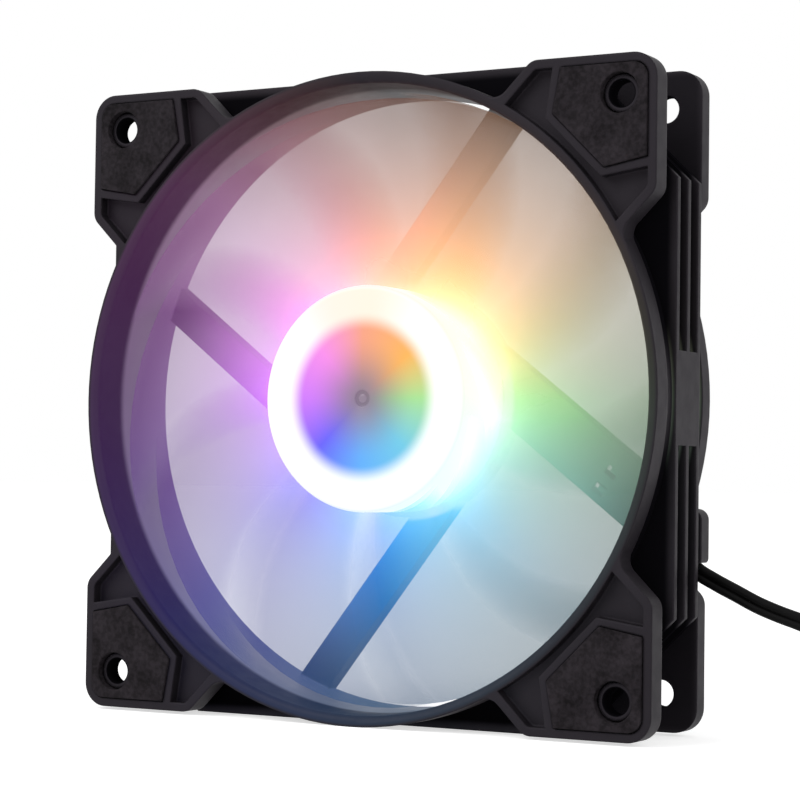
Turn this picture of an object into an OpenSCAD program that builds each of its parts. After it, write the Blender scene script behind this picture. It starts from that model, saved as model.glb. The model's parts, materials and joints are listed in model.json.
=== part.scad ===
// A case fan with a lit hub: a square moulded frame with rubber corner pads, four swept struts
// that carry the motor, a translucent impeller on a sleeve bearing, and a flat two-core lead.
// The fan stands on its lower edge: X runs to the right, Y to the rear and Z up.
// Fan pieces are drawn with the spin axis along local z, which points out of the front face.

/* [Frame] */
// Side of the square frame
frame_w = 120; // [110:1:150]
// Depth of the fan over the front and rear pads
frame_d = 25; // [24:0.5:38]
// Width of the rim between the bore and the side of the frame
rim_w = 2; // [1.6:0.1:3]
// Wall of the shroud between the flanges
shroud_wall = 1.3; // [1:0.1:1.5]
// Thickness of the front flange at the ears
front_flange_t = 4.5; // [3.5:0.1:5.5]
// Thickness of the rear flange and of the struts
rear_flange_t = 3.5; // [3.3:0.1:4.5]
// Depth of the front rim behind the front face
front_rim_t = 4.6; // [4.6:0.1:6]
// Rounding of the bore's front edge
lip_r = 1.2; // [0.4:0.1:1.5]
// Chamfer of the bore's rear edge
rear_chamfer = 0.8; // [0.3:0.1:1.4]

/* [Ears] */
// Length of an ear along the side of the frame
ear_leg = 24; // [22:0.5:27]
// Distance of the ears' sides inside the width of the frame
ear_inset = 0.6; // [0:0.1:1]
// Rounding of the frame's outer corners
corner_r = 4.5; // [3:0.5:7]
// Rounding where an ear turns in towards the rim
ear_r = 3; // [1:0.5:4]
// Length of an ear's slanted ends, which run in under the rim
ear_slope = 20; // [17:0.5:21]
// Wall round the outside of an ear
ear_wall = 1.6; // [1.2:0.1:2]
// Depth of the two triangular pockets of an ear
pocket_depth = 2.2; // [1:0.1:2.4]
// Distance of a screw hole from both sides of the frame
hole_inset = 7.5; // [7:0.1:8.5]
// Diameter of a screw hole
hole_d = 4.9; // [4:0.1:5.2]
// Diameter of the boss round a screw hole
screw_boss_d = 6.6; // [6.2:0.1:6.8]
// Distance of the boss behind the face of the frame
screw_boss_drop = 0.8; // [0.4:0.1:1.2]
// Fillet where an ear meets the round rim
ear_fillet = 3; // [1.5:0.5:3.5]

/* [Corner pads] */
// Thickness of a pad
pad_t = 2.4; // [1.6:0.1:2.6]
// Height of a pad above the face of the frame
pad_proud = 0.4; // [0.2:0.1:0.8]
// Length of a pad along the side of the frame
pad_leg = 16.4; // [15:0.2:18]
// Depth of a pad at its slanted ends
pad_depth = 8; // [6:0.2:9]
// Slant of a pad's ends
pad_slant = 1.5; // [0.5:0.1:2.5]
// Rounding of a pad's outer corner
pad_r = 2.6; // [1:0.2:4]
// Wall of the frame round a pad's inner edges
pad_wall = 1.4; // [1:0.1:1.8]
// Diameter of the hole in a pad
pad_hole_d = 7.2; // [6:0.1:9]
// Gap round a pad in its recess
pad_gap = 0.15; // [0.05:0.05:0.3]

/* [Ribs] */
// Number of ribs round the shroud
rib_count = 3; // [2:1:3]
// Thickness of a rib
rib_t = 1.3; // [1:0.1:2]
// Distance between ribs
rib_pitch = 4.85; // [4.2:0.05:5.2]
// Distance of the middle of the ribs behind the middle of the frame
rib_shift = 1.6; // [1.2:0.1:2]
// Leg of the corner cut that clears the screws
rib_cut = 21.5; // [19:0.5:23]
// Width of the flat panel in the middle of each side
panel_w = 16.6; // [8:0.2:24]

/* [Struts and motor base] */
// Direction of the upper strut, from the right, turning left
strut_angle = 52.5; // [45:0.5:60]
// Distance of a strut's outer edge from the spin axis
strut_edge = 20.3; // [18:0.1:20.4]
// Width of the three plain struts
strut_w = 6.4; // [4:0.1:8]
// Width of the strut that carries the lead
lead_strut_w = 11.1; // [10:0.1:12]
// Clearance of the motor base outside the hub
base_margin = 1; // [0.5:0.1:2]
// Wall of the motor base
base_wall = 1.5; // [1.2:0.1:2]
// Floor of the motor base and thickness of the lead's hooks
base_floor_t = 0.9; // [0.8:0.05:1]
// Running gap between the hub and the motor base
hub_base_gap = 1.2; // [0.8:0.1:2]

/* [Cable channel] */
// Width of the channel in the lead's strut
channel_w = 5.8; // [5:0.1:6.2]
// Clearance round the lead where it is led through a wall
lead_gap = 0.3; // [0.2:0.05:0.4]
// Clearance in front of and behind the lead
lead_lift = 0.2; // [0.15:0.05:0.3]
// Length of a hook along the channel
hook_len = 2.5; // [1.5:0.1:4]
// Reach of a hook over the channel
hook_reach = 1.9; // [1:0.1:2.2]
// Upper end of the tab beside the cable notch, below the axis
tab_top = 19.4; // [17:0.1:21]
// Lower end of the tab, below the axis
tab_low = 29.2; // [27:0.1:29.3]
// Rounding of the tab's free corner
tab_r = 2; // [0.5:0.1:3]

/* [Impeller] */
// Number of blades
blade_count = 9; // [5:1:9]
// Diameter of the hub
hub_d = 42; // [40:0.5:46]
// Distance of the hub's front behind the front of the fan
hub_set_back = 3.5; // [2:0.1:5]
// Thickness of the hub's front
hub_face_t = 1.6; // [1.2:0.1:2.4]
// Wall of the hub
hub_wall = 1.5; // [1.2:0.1:2]
// Rounding of the hub's front edge
hub_round = 1.6; // [1:0.1:3]
// Diameter of the moulding mark in the middle of the hub
gate_d = 3; // [2:0.1:5]
// Depth of the moulding mark
gate_depth = 0.4; // [0.2:0.1:0.8]
// Gap between the blade tips and the bore
tip_gap = 0.9; // [0.8:0.1:3]
// Angle that a blade covers round the axis, at the root
blade_arc_root = 64; // [40:0.5:68]
// Angle that a blade covers round the axis, at the tip
blade_arc_tip = 58; // [36:0.5:60]
// Angle by which a blade's tip leans forward, in the sense of rotation
blade_sweep = 16; // [0:1:30]
// Distance of the leading edge behind the hub's front, at the root
lead_edge_root = 3.2; // [2.8:0.1:5]
// Distance of the leading edge behind the hub's front, at the tip
lead_edge_tip = 3.6; // [2:0.1:6]
// Distance of the trailing edge in front of the hub's rear edge
trail_edge = 0.6; // [0.4:0.1:2]
// Part of a blade's depth that is curvature
blade_camber = 0.35; // [0:0.05:0.6]
// Thickness of a blade at its root
blade_root_t = 2; // [1.4:0.1:2.6]
// Thickness of a blade at its tip
blade_tip_t = 1.2; // [0.9:0.1:1.8]
// Thickness of a blade's leading and trailing edges
blade_edge_t = 0.6; // [0.4:0.1:0.8]

/* [Motor] */
// Diameter of the shaft
shaft_d = 3; // [2.4:0.1:3.2]
// Running clearance of the shaft, all round
shaft_gap = 0.03; // [0.02:0.01:0.08]
// Clearance between pieces that are pressed or glued together
fit_gap = 0.03; // [0.02:0.01:0.05]
// Outer diameter of the rotor's steel yoke
yoke_d = 28.8; // [27:0.1:30]
// Wall of the yoke
yoke_t = 1; // [0.8:0.1:1.4]
// Wall of the magnet ring
magnet_t = 1.75; // [1.2:0.05:2]
// Distance of the magnet ring inside the yoke's rear edge
magnet_inset = 0.5; // [0.2:0.1:1]
// Distance of the magnet ring from the yoke's front plate
magnet_gap = 0.9; // [0.5:0.1:2]
// Clearance between the yoke and the lamps on the board
yoke_gap = 1.6; // [1:0.1:2.5]
// Air gap between the magnet ring and the stator
air_gap = 0.5; // [0.3:0.05:0.8]
// Wall of the boss round the bearing tube
boss_wall = 1.6; // [1.2:0.1:2]
// Outer diameter of the bearing tube
tube_d = 8.8; // [8.2:0.1:9.4]
// Wall of the bearing tube
tube_t = 1.1; // [0.8:0.05:1.3]
// Height of the bearing tube above the stator core
tube_proud = 0.25; // [0.1:0.05:0.4]
// Distance of the stator core inside each end of the magnet ring
core_inset = 2.75; // [2.5:0.05:3.2]
// Wall of the stator core round the bearing tube
core_wall = 1.8; // [1.4:0.1:2.2]
// Width of a stator tooth
tooth_w = 3; // [2.4:0.1:3.6]
// Depth of a pole shoe
shoe_t = 1.3; // [0.9:0.1:1.6]
// Angle that a pole shoe covers
shoe_arc = 74; // [60:1:80]
// Thickness of an insulator plate
insulator_t = 1; // [0.6:0.1:1.2]
// Height of the rear insulator's collar
collar_h = 1.5; // [1:0.1:2]
// Build of a winding round its tooth
winding_t = 1.4; // [1:0.1:1.6]
// Clearance between a winding and its tooth
winding_gap = 0.1; // [0.05:0.05:0.2]
// Diameter of the bush that holds the shaft
bush_d = 6.4; // [5.6:0.1:7]
// Thickness of the retaining ring
clip_t = 0.5; // [0.4:0.05:0.7]
// Distance of the retaining ring from the shaft's end
clip_inset = 1; // [0.8:0.1:1.4]
// Clearance round the retaining ring in the bearing tube
clip_gap = 0.9; // [0.5:0.1:1]
// Width of the retaining ring's open side
clip_mouth = 1.9; // [1.5:0.1:2]
// Depth of the retaining ring's groove
groove_depth = 0.3; // [0.2:0.05:0.4]
// Play of the rotor along its axis
end_play = 0.3; // [0.2:0.05:0.5]
// Thickness of the thrust pad
thrust_t = 1; // [0.6:0.1:1.4]
// Gap between the shaft's end and the thrust pad
thrust_gap = 0.1; // [0.05:0.05:0.2]
// Thickness of the oil seal
seal_t = 0.7; // [0.5:0.1:1]
// Clearance of the oil seal round the shaft
seal_gap = 0.1; // [0.08:0.01:0.2]

/* [Board and lamps] */
// Thickness of the circuit board
board_t = 1; // [0.8:0.1:1.6]
// Height of the board above the floor of the motor base
board_standoff = 2.1; // [2:0.1:2.4]
// Gap between the board and the wall of the motor base
board_gap = 0.3; // [0.2:0.05:0.5]
// Width of the ledge under the edge of the board
ledge_w = 1.6; // [1.2:0.1:2]
// Hall sensor: radial size, length and height
hall_size = [1.6, 3, 1.1]; // [0.8:0.1:3.2]
// Driver chip: radial size, length and height
driver_size = [4, 5, 1.4]; // [1:0.1:5.4]
// Passive component: radial size, length and height
passive_size = [0.8, 1.6, 0.5]; // [0.4:0.1:2]
// Number of lamps round the hub
lamp_count = 6; // [4:1:6]
// Length of a lamp
lamp_l = 3.5; // [2:0.1:3.8]
// Width of a lamp
lamp_w = 2.8; // [1.6:0.1:3]
// Height of a lamp
lamp_h = 1; // [0.6:0.1:1.4]
// Diameter of a lamp's window
window_d = 2.2; // [1.2:0.1:2.4]
// Depth of a lamp's window
window_depth = 0.3; // [0.1:0.05:0.5]

/* [Lead] */
// Diameter of one of the lead's two cores
core_d = 1.6; // [1.2:0.05:1.65]
// Depth by which the two cores run together
core_web = 0.1; // [0.05:0.05:0.2]
// Radius of the coil's outermost turn
coil_r = 16.1; // [15.5:0.1:17]
// Step of the coil from turn to turn
coil_step = 2; // [1.95:0.05:2.4]
// Turns in each of the coil's two layers
layer_turns = 1.5; // [1.5:1:2.5]
// Gap between the coil's layers
layer_gap = 0.5; // [0.45:0.05:1]
// Thickness of the tie round the coil
tie_t = 0.8; // [0.5:0.1:0.9]
// Width of the tie
tie_w = 3.5; // [2:0.1:5]
// Gap between the tie and the coil
tie_gap = 0.25; // [0.2:0.05:0.4]
// Number of the plug's ways
plug_ways = 3; // [2:1:4]
// Gap between the end of the lead and the plug
plug_gap = 0.2; // [0.15:0.05:0.4]
// Pitch of the plug's contacts
plug_pitch = 2.54; // [2.5:0.02:2.6]
// Length of the plug
plug_l = 12.5; // [10:0.1:14]
// Height of the plug's body
plug_h = 5; // [4.2:0.1:5.6]
// Height of the plug's two guide ribs
plug_rib = 0.8; // [0.4:0.1:1.2]
// Length of the guide ribs
plug_rib_l = 10; // [6:0.1:10]
// Distance between the guide ribs
plug_rib_pitch = 4.6; // [3:0.1:5.5]
// Width of a cavity in the plug
cavity_w = 1.8; // [1.6:0.05:2]
// Depth of a cavity
cavity_depth = 8.8; // [7:0.1:9.5]
// Width of a contact
contact_w = 1.5; // [1.2:0.05:1.6]
// Length of a contact
contact_l = 7.5; // [5:0.1:7.9]
// Wall of a contact
contact_t = 0.25; // [0.2:0.05:0.4]

/* [Hidden] */
$fn = 96;
cut = 1;

half_w = frame_w / 2;
half_d = frame_d / 2;
ring_r = half_w;
bore_r = ring_r - rim_w;
shroud_r = bore_r + shroud_wall;
front_z = half_d - pad_proud;
rear_z = -front_z;
front_flange_z = front_z - front_flange_t;
rear_flange_z = rear_z + rear_flange_t;
hole_at = half_w - hole_inset;
ear_half = half_w - ear_inset;
pad_edge = ear_half - ear_wall - pad_gap;
recess_depth = pad_t - pad_proud;
rib_mid = -rib_shift;
rib_span = (rib_count - 1) * rib_pitch + rib_t;

hub_r = hub_d / 2;
hub_in_r = hub_r - hub_wall;
hub_front_z = half_d - hub_set_back;
hub_inner_z = hub_front_z - hub_face_t;
base_r = hub_r + base_margin;
base_in_r = base_r - base_wall;
base_rim_z = rear_flange_z;
base_floor_z = rear_z + base_floor_t;
hub_rear_z = base_rim_z + hub_base_gap;
tip_r = bore_r - tip_gap;
blade_root_r = hub_r - hub_wall / 2;
// Facets of a blade along its span and its chord
blade_rows = 8;
blade_steps = 8;

board_rear_z = base_floor_z + board_standoff;
board_front_z = board_rear_z + board_t;
lamp_front_z = board_front_z + lamp_h;
board_r = base_in_r - board_gap;
ledge_r = board_r - ledge_w;

yoke_r = yoke_d / 2;
yoke_in_r = yoke_r - yoke_t;
yoke_plate_z = hub_inner_z - yoke_t;
yoke_rear_z = lamp_front_z + yoke_gap;
lamp_r = (yoke_r + hub_in_r) / 2;
magnet_out_r = yoke_in_r - fit_gap;
magnet_in_r = magnet_out_r - magnet_t;
magnet_rear_z = yoke_rear_z + magnet_inset;
magnet_front_z = yoke_plate_z - magnet_gap;
core_t = magnet_front_z - magnet_rear_z - 2 * core_inset;
core_mid_z = (magnet_front_z + magnet_rear_z) / 2;
core_rear_z = core_mid_z - core_t / 2;
core_front_z = core_mid_z + core_t / 2;
core_r = magnet_in_r - air_gap;

shaft_r = shaft_d / 2;
tube_r = tube_d / 2;
tube_in_r = tube_r - tube_t;
tube_bore_r = tube_r + fit_gap;
boss_r = tube_r + boss_wall;
boss_front_z = core_rear_z - insulator_t - collar_h;
tube_front_z = core_front_z + tube_proud;
bush_rear_z = core_front_z + insulator_t;
thrust_front_z = base_floor_z + thrust_t;
shaft_rear_z = thrust_front_z + thrust_gap;
clip_rear_z = shaft_rear_z + clip_inset;
clip_front_z = clip_rear_z + clip_t;
sleeve_rear_z = clip_front_z + end_play;
seal_rear_z = tube_front_z - seal_t;
groove_r = shaft_r - groove_depth;
tooth_root_r = tube_bore_r + core_wall;
shoe_in_r = core_r - shoe_t;
winding_in_r = tooth_root_r + winding_gap;
winding_w = tooth_w + 2 * (winding_gap + winding_t);
winding_out_r = sqrt(shoe_in_r * shoe_in_r - winding_w * winding_w / 4) - winding_gap;
chip_r = (boss_r + yoke_in_r) / 2;
// Where the parts of the board stand, round the axis
hall_angle = 45;
driver_angle = 200;
passive_angles = [90, 120, 150];

lead_t = core_d;
lead_w = 2 * core_d - core_web;
channel_depth = base_floor_t + lead_t + 2 * lead_lift;
slot_w = lead_w + 2 * lead_gap;

corner_names = ["top_right", "top_left", "bottom_left", "bottom_right"];
front_pads = [for (n = corner_names) str("front_pad_", n)];
rear_pads = [for (n = corner_names) str("rear_pad_", n)];
windings = [for (k = [1:4]) str("stator_winding_", k)];
lamps = [for (k = [1:lamp_count]) str("hub_lamp_", k)];

// Points of the route where the strut's channel starts and ends, and where the hooks are
channel_from = 2;
channel_to = 5;
hooks_at = 4;
exit_at = 7;

coil_mid = [half_w + 43, 0, 0];
coil_low_z = tie_t + tie_gap + lead_w / 2;
coil_high_z = coil_low_z + lead_w + layer_gap;
loop_rings = 24;
// The climb to the upper layer takes half a turn, about the turn where the spiral reverses
climb_turns = 0.5;

turn_count = 2 * layer_turns;
coil_start = coil_point(0) - [lead_w, 0, 0];
coil_end = coil_point(turn_count) + [lead_w, 0, 0];
coil_loops = [for (i = [0:turn_count * loop_rings]) coil_point(i / loop_rings)];
coil_path = concat([coil_start], coil_loops, [coil_end]);

// The lead's line in its strut: how far out from the axis it lies, where it starts and where it ends
lead_line = 13.5;
lead_start = 6;
lead_run = sqrt(bore_r * bore_r - lead_line * lead_line) - lead_start;
strut_steps = 5;
along_strut = [for (i = [0:strut_steps]) lead_start + (lead_run - lead_start) * i / strut_steps];
lead_y = front_z - base_floor_t - lead_lift - lead_t / 2;
// The lead leaves the frame below the tab, hangs out to the side and comes down to the coil
exit_point = [half_w + 2, lead_y, half_w - tab_low - lead_w];
from_exit = [
    [-9, 0, 7.1], [-4, 0, 2.3], [0, 0, 0], [4, 0, -1.9], [8, 0, -3.8],
    [12, 0.1, -5.3], [16, 0.3, -6.6], [20, 0.7, -8.3]
];
to_coil = [
    [-14.8, -4.3, 14.6], [-12.3, -3.2, 10.6], [-10.3, -1.9, 6.6],
    [-7.8, -0.7, 2.8], [-4.3, -0.1, 0.4], [0, 0, 0]
];
lead_route = concat(
    [for (s = along_strut) strut_point(s, lead_line)],
    [for (d = from_exit) exit_point + d],
    [for (d = to_coil) coil_start + d]
);

// The lead's way from the coil to the plug
from_coil = [
    [0, 0, 0], [3.8, -0.2, -0.1], [7.3, -1.2, -0.6], [10.5, -2.5, -1.4], [13.3, -4, -2.2], [15.7, -5.5, -2.6]
];
tail_route = [for (d = from_coil) coil_end + d];
tail_end = tail_route[len(tail_route) - 1];
plug_turn = -34;
plug_w = plug_ways * plug_pitch;

// Sections of the flat lead, in parts of its thickness and width: two cores side by side, and a plainer one
twin = [[0.32, 0], [0.5, 0.25], [0, 0.5], [-0.5, 0.25], [-0.32, 0], [-0.5, -0.25], [0, -0.5], [0.5, -0.25]];
plain = [[0.5, 0.25], [0, 0.5], [-0.5, 0.25], [-0.5, -0.25], [0, -0.5], [0.5, -0.25]];

function flat(p) = [p[0], p[2] - half_w];
// A point of the lead's line in its strut: along the strut, and out from the axis
function strut_point(s, n) =
    let (a = strut_angle + 270)
    [s * cos(a) - n * sin(a), lead_y, half_w + s * sin(a) + n * cos(a)];
function unit(v) = v / norm(v);
function ramp(x) = let (u = min(1, max(0, x))) u * u * (3 - 2 * u);

// Outline of an ear in the first quadrant, drawn in by a wall
function ear_outline(inset) =
    let (e = ear_half - inset, b = ear_leg - inset * sqrt(2), d = ear_slope)
    [[e, e], [e - b, e], [e - b - d, e - d], [e - d, e - b - d], [e, e - b]];

// Outline of a pad in the first quadrant, grown by a margin
function pad_outline(grow) =
    let (e = pad_edge + grow, l = pad_leg + 2 * grow, d = pad_depth + grow * sqrt(2))
    [[e, e], [e - l, e], [e - l - pad_slant, e - d], [e - d, e - l - pad_slant], [e, e - l]];

// Fan pieces stand upright, with their axis along Y and the front facing -Y
module fan() translate([0, 0, half_w]) rotate([90, 0, 0]) children();

module slab(z0, z1) translate([0, 0, z0]) linear_extrude(z1 - z0) children();

module disc(r, z0, z1) translate([0, 0, z0]) cylinder(r = r, h = z1 - z0);

module tube(r_out, r_in, z0, z1) {
    difference() {
        disc(r_out, z0, z1);
        disc(r_in, z0 - cut, z1 + cut);
    }
}

// A convex outline with a rounding radius for each corner
module rounded(points, radii) {
    n = len(points);
    ends = [for (i = [0:n - 1])
        let (p = points[i], a = unit(points[(i + n - 1) % n] - p), b = unit(points[(i + 1) % n] - p),
            half = acos(a * b) / 2, reach = radii[i] / tan(half))
        [p + a * reach, p + b * reach, p + unit(a + b) * radii[i] / sin(half)]];
    polygon([for (i = [0:n - 1]) each radii[i] > 0 ? [ends[i][0], ends[i][1]] : [points[i]]]);
    for (i = [0:n - 1]) if (radii[i] > 0) translate(ends[i][2]) circle(radii[i]);
}

// A straight lane of one width between two points of the lead's route, with a round far end
module lane(from, to, w) {
    a = flat(lead_route[from]);
    d = flat(lead_route[to]) - a;
    translate(a) rotate(atan2(d[1], d[0])) {
        translate([0, -w / 2]) square([norm(d), w]);
        translate([norm(d), 0]) circle(w / 2);
    }
}

// The fillet between the rim and the slanted end of an ear, just deep enough to cross the rim
module rim_fillet() {
    sink = 0.02;
    rise = ear_leg + ear_fillet * sqrt(2);
    reach = ring_r + ear_fillet - sink;
    x = (sqrt(2 * reach * reach - rise * rise) - rise) / 2;
    mid = [x, x + rise];
    rim = mid * (ring_r - 2 * rim_w / 3) / norm(mid);
    edge = mid + [1, -1] * (ear_fillet + rim_w / 2) / sqrt(2);
    difference() {
        polygon([mid, rim, [edge[0], rim[1]], edge]);
        translate(mid) circle(ear_fillet);
    }
}

module flange_outline() {
    circle(ring_r);
    for (k = [0:3]) rotate(90 * k) {
        rounded(ear_outline(0), [corner_r, ear_r, 0, 0, ear_r]);
        rim_fillet();
        mirror([1, -1, 0]) rim_fillet();
    }
}

module rib_outline() {
    c = half_w - rib_cut;
    polygon([for (k = [0:3], p = [[half_w, c], [c, half_w]])
        [p[0] * cos(90 * k) - p[1] * sin(90 * k), p[0] * sin(90 * k) + p[1] * cos(90 * k)]]);
}

module tab_outline() {
    inner = bore_r * cos(asin(tab_low / bore_r));
    rounded([[half_w, -tab_top], [inner, -tab_top], [inner, -tab_low], [half_w, -tab_low]],
        [tab_r, 0, 0, tab_r / 2]);
}

// The cuts in one face of the four ears: the pad's recess round the screw boss, and two pockets
module ear_cuts() {
    for (k = [0:3]) rotate(90 * k) {
        slab(front_z - recess_depth, front_z + cut) difference() {
            rounded(pad_outline(pad_gap), [pad_r, 0, 0, 0, 0]);
            translate([hole_at, hole_at]) circle(screw_boss_d / 2);
        }
        translate([hole_at, hole_at])
            disc((screw_boss_d + pad_hole_d) / 4, front_z - screw_boss_drop, front_z + cut);
        slab(front_z - pocket_depth, front_z + cut) difference() {
            rounded(ear_outline(ear_wall), [0, ear_r - ear_wall, 0, 0, ear_r - ear_wall]);
            circle(ring_r);
            polygon(pad_outline(pad_gap + pad_wall));
        }
    }
}

module shell() {
    difference() {
        union() {
            slab(front_flange_z, front_z) flange_outline();
            slab(rear_z, rear_flange_z) {
                flange_outline();
                tab_outline();
            }
            disc(ring_r, front_z - front_rim_t, front_z);
            disc(shroud_r, rear_z, front_z);
            for (k = [0:rib_count - 1])
                slab(rib_mid - rib_span / 2 + k * rib_pitch, rib_mid - rib_span / 2 + k * rib_pitch + rib_t)
                    rib_outline();
            slab(rib_mid - rib_span / 2, rib_mid + rib_span / 2) for (k = [0:3]) rotate(90 * k)
                translate([bore_r, -panel_w / 2]) square([rim_w, panel_w]);
        }
        disc(bore_r, rear_z - cut, front_z + cut);
        rotate_extrude() translate([bore_r, front_z]) difference() {
            translate([-cut, -lip_r]) square([cut + lip_r, lip_r + cut]);
            translate([lip_r, -lip_r]) circle(lip_r);
        }
        rotate_extrude() translate([bore_r, rear_z])
            polygon([[-cut, -cut], [rear_chamfer + cut, -cut], [-cut, rear_chamfer + cut]]);
        for (side = [0, 1]) mirror([0, 0, side]) ear_cuts();
        for (k = [0:3]) rotate(90 * k) translate([hole_at, hole_at])
            disc(hole_d / 2, rear_z - cut, front_z + cut);
    }
}

// Struts and motor base, with the ledge for the board and the boss for the bearing tube
module spider() {
    difference() {
        union() {
            slab(rear_z, rear_flange_z) intersection() {
                circle((bore_r + shroud_r) / 2);
                for (k = [0:3]) {
                    w = k == 3 ? lead_strut_w : strut_w;
                    rotate(strut_angle + 90 * k) translate([0, strut_edge - w]) square([ring_r, w]);
                }
            }
            disc(base_r, rear_z, base_rim_z);
        }
        disc(base_in_r, base_floor_z, base_rim_z + cut);
    }
    tube(base_in_r + base_wall / 2, ledge_r, base_floor_z - base_floor_t / 2, board_rear_z);
    tube(boss_r, tube_bore_r, base_floor_z - base_floor_t / 2, boss_front_z);
}

// Two hooks across the channel hold the lead, each with a window in front of it
module hook_pair(grow) {
    d = flat(lead_route[hooks_at]) - flat(lead_route[hooks_at - 1]);
    translate(flat(lead_route[hooks_at])) rotate(atan2(d[1], d[0])) for (side = [0, 1]) mirror([0, side])
        translate([-hook_len / 2, channel_w / 2 - hook_reach]) square([hook_len, hook_reach + grow]);
}

module frame() color("#2a282c") fan() {
    difference() {
        union() {
            shell();
            spider();
        }
        slab(base_floor_z, board_rear_z) lane(0, channel_from, slot_w);
        slab(rear_z - cut, rear_z + channel_depth) {
            lane(channel_from, channel_to, channel_w);
            lane(channel_to, exit_at, slot_w);
        }
        slab(rear_z, rear_flange_z + cut) hook_pair(0);
    }
    slab(rear_z, rear_z + base_floor_t) hook_pair(base_floor_t);
}

module pad(k, side) color("#262320") fan() mirror([0, 0, side]) rotate(90 * k) {
    slab(front_z - recess_depth, half_d) difference() {
        rounded(pad_outline(0), [pad_r, 0, 0, 0, 0]);
        translate([hole_at, hole_at]) circle(pad_hole_d / 2);
    }
}

module bearing_tube() color("#b8954a") fan() tube(tube_r, tube_in_r, base_floor_z, tube_front_z);

module sleeve_bearing() color("#9c6f3c") fan()
    tube(tube_in_r - fit_gap, shaft_r + shaft_gap, sleeve_rear_z, seal_rear_z);

module oil_seal() color("#d8d2c4") fan()
    tube(tube_in_r - fit_gap, shaft_r + seal_gap, seal_rear_z, tube_front_z);

module thrust_pad() color("#e6e0d2") fan() disc(tube_in_r - fit_gap, base_floor_z, thrust_front_z);

module tooth_cross(w) {
    circle(tooth_root_r);
    for (k = [0:3]) rotate(90 * k) translate([0, -w / 2]) square([shoe_in_r + shoe_t / 2, w]);
}

module shoes() {
    far = 2 * core_r;
    intersection() {
        difference() {
            circle(core_r);
            circle(shoe_in_r);
        }
        for (k = [0:3]) rotate(90 * k)
            polygon([[0, 0], [far, -far * tan(shoe_arc / 2)], [far, far * tan(shoe_arc / 2)]]);
    }
}

module stator_core() color("#8f9296") fan() slab(core_rear_z, core_front_z) difference() {
    union() {
        tooth_cross(tooth_w);
        shoes();
    }
    circle(tube_bore_r);
}

module insulator_plate(z0) slab(z0, z0 + insulator_t) difference() {
    tooth_cross(tooth_w);
    circle(tube_bore_r);
}

module front_insulator() color("#e8e6df") fan() insulator_plate(core_front_z);

module rear_insulator() color("#e8e6df") fan() {
    insulator_plate(core_rear_z - insulator_t);
    tube(tooth_root_r, tube_bore_r, boss_front_z, core_rear_z - insulator_t / 2);
}

// A winding wraps its tooth and both insulator plates
module stator_winding(k) color("#b5622f") fan() rotate(90 * k) {
    in_w = tooth_w + 2 * winding_gap;
    in_h = core_t + 2 * insulator_t + 2 * winding_gap;
    w = winding_w;
    h = in_h + 2 * winding_t;
    translate([winding_in_r, 0, core_mid_z]) rotate([90, 0, 90])
        linear_extrude(winding_out_r - winding_in_r) difference() {
            rounded([[w, h] / 2, [-w, h] / 2, [-w, -h] / 2, [w, -h] / 2], [for (i = [0:3]) winding_t]);
            square([in_w, in_h], center = true);
        }
}

module motor_board() color("#f2f0e8") fan() tube(board_r, boss_r + fit_gap, board_rear_z, board_front_z);

// A chip that stands on the front of the board
module chip(angle, r, size) {
    rotate(angle) translate([r - size[0] / 2, -size[1] / 2, board_front_z]) cube(size);
}

module hall_sensor() color("#1e1e20") fan() chip(hall_angle, magnet_in_r, hall_size);

module driver_chip() color("#1e1e20") fan() chip(driver_angle, chip_r, driver_size);

module board_passives() color("#c9b48c") fan() for (a = passive_angles) chip(a, chip_r, passive_size);

function lamp_angle(k) = 360 * (k + 0.5) / lamp_count;

// A lamp is a small square case with a round window
module hub_lamp(k) color("#fff7e0") fan() difference() {
    chip(lamp_angle(k), lamp_r, [lamp_w, lamp_l, lamp_h]);
    rotate(lamp_angle(k)) translate([lamp_r, 0])
        disc(window_d / 2, lamp_front_z - window_depth, lamp_front_z + cut);
}

// One point of a blade's section: row 0 is the root, c runs from the leading edge to the trailing
// edge, and face is 1 on the front and -1 on the back
function blade_point(row, c, face) =
    let (f = row / blade_rows,
        r = blade_root_r + f * (tip_r - blade_root_r),
        front = hub_front_z - lead_edge_root - f * (lead_edge_tip - lead_edge_root),
        drop = front - hub_rear_z - trail_edge,
        arc = blade_arc_root + f * (blade_arc_tip - blade_arc_root),
        angle = blade_sweep * f * f + arc * (0.5 - c),
        z = front - drop * ((1 - blade_camber) * c + blade_camber * c * c),
        along = unit([r * arc * PI / 180, drop * (1 - blade_camber + 2 * blade_camber * c)]),
        thick = blade_root_t + f * (blade_tip_t - blade_root_t),
        t = face * (blade_edge_t + (thick - blade_edge_t) * 4 * c * (1 - c)) / 2,
        a = angle - along[1] * t / r * 180 / PI)
    [r * cos(a), r * sin(a), z + along[0] * t];

module blade() {
    n = blade_steps;
    ring = 2 * n + 2;
    points = [for (row = [0:blade_rows], j = [0:ring - 1])
        j <= n ? blade_point(row, j / n, 1) : blade_point(row, (ring - 1 - j) / n, -1)];
    sides = [for (row = [0:blade_rows - 1], j = [0:ring - 1])
        let (a = row * ring + j, b = row * ring + (j + 1) % ring)
        each [[a, a + ring, b], [b, a + ring, b + ring]]];
    ends = [for (row = [0, blade_rows], j = [0:n - 1])
        let (a = row * ring + j, b = row * ring + ring - 1 - j)
        each row == 0 ? [[a, a + 1, b], [b, a + 1, b - 1]] : [[a, b, a + 1], [b, b - 1, a + 1]]];
    polyhedron(points, concat(sides, ends));
}

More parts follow.
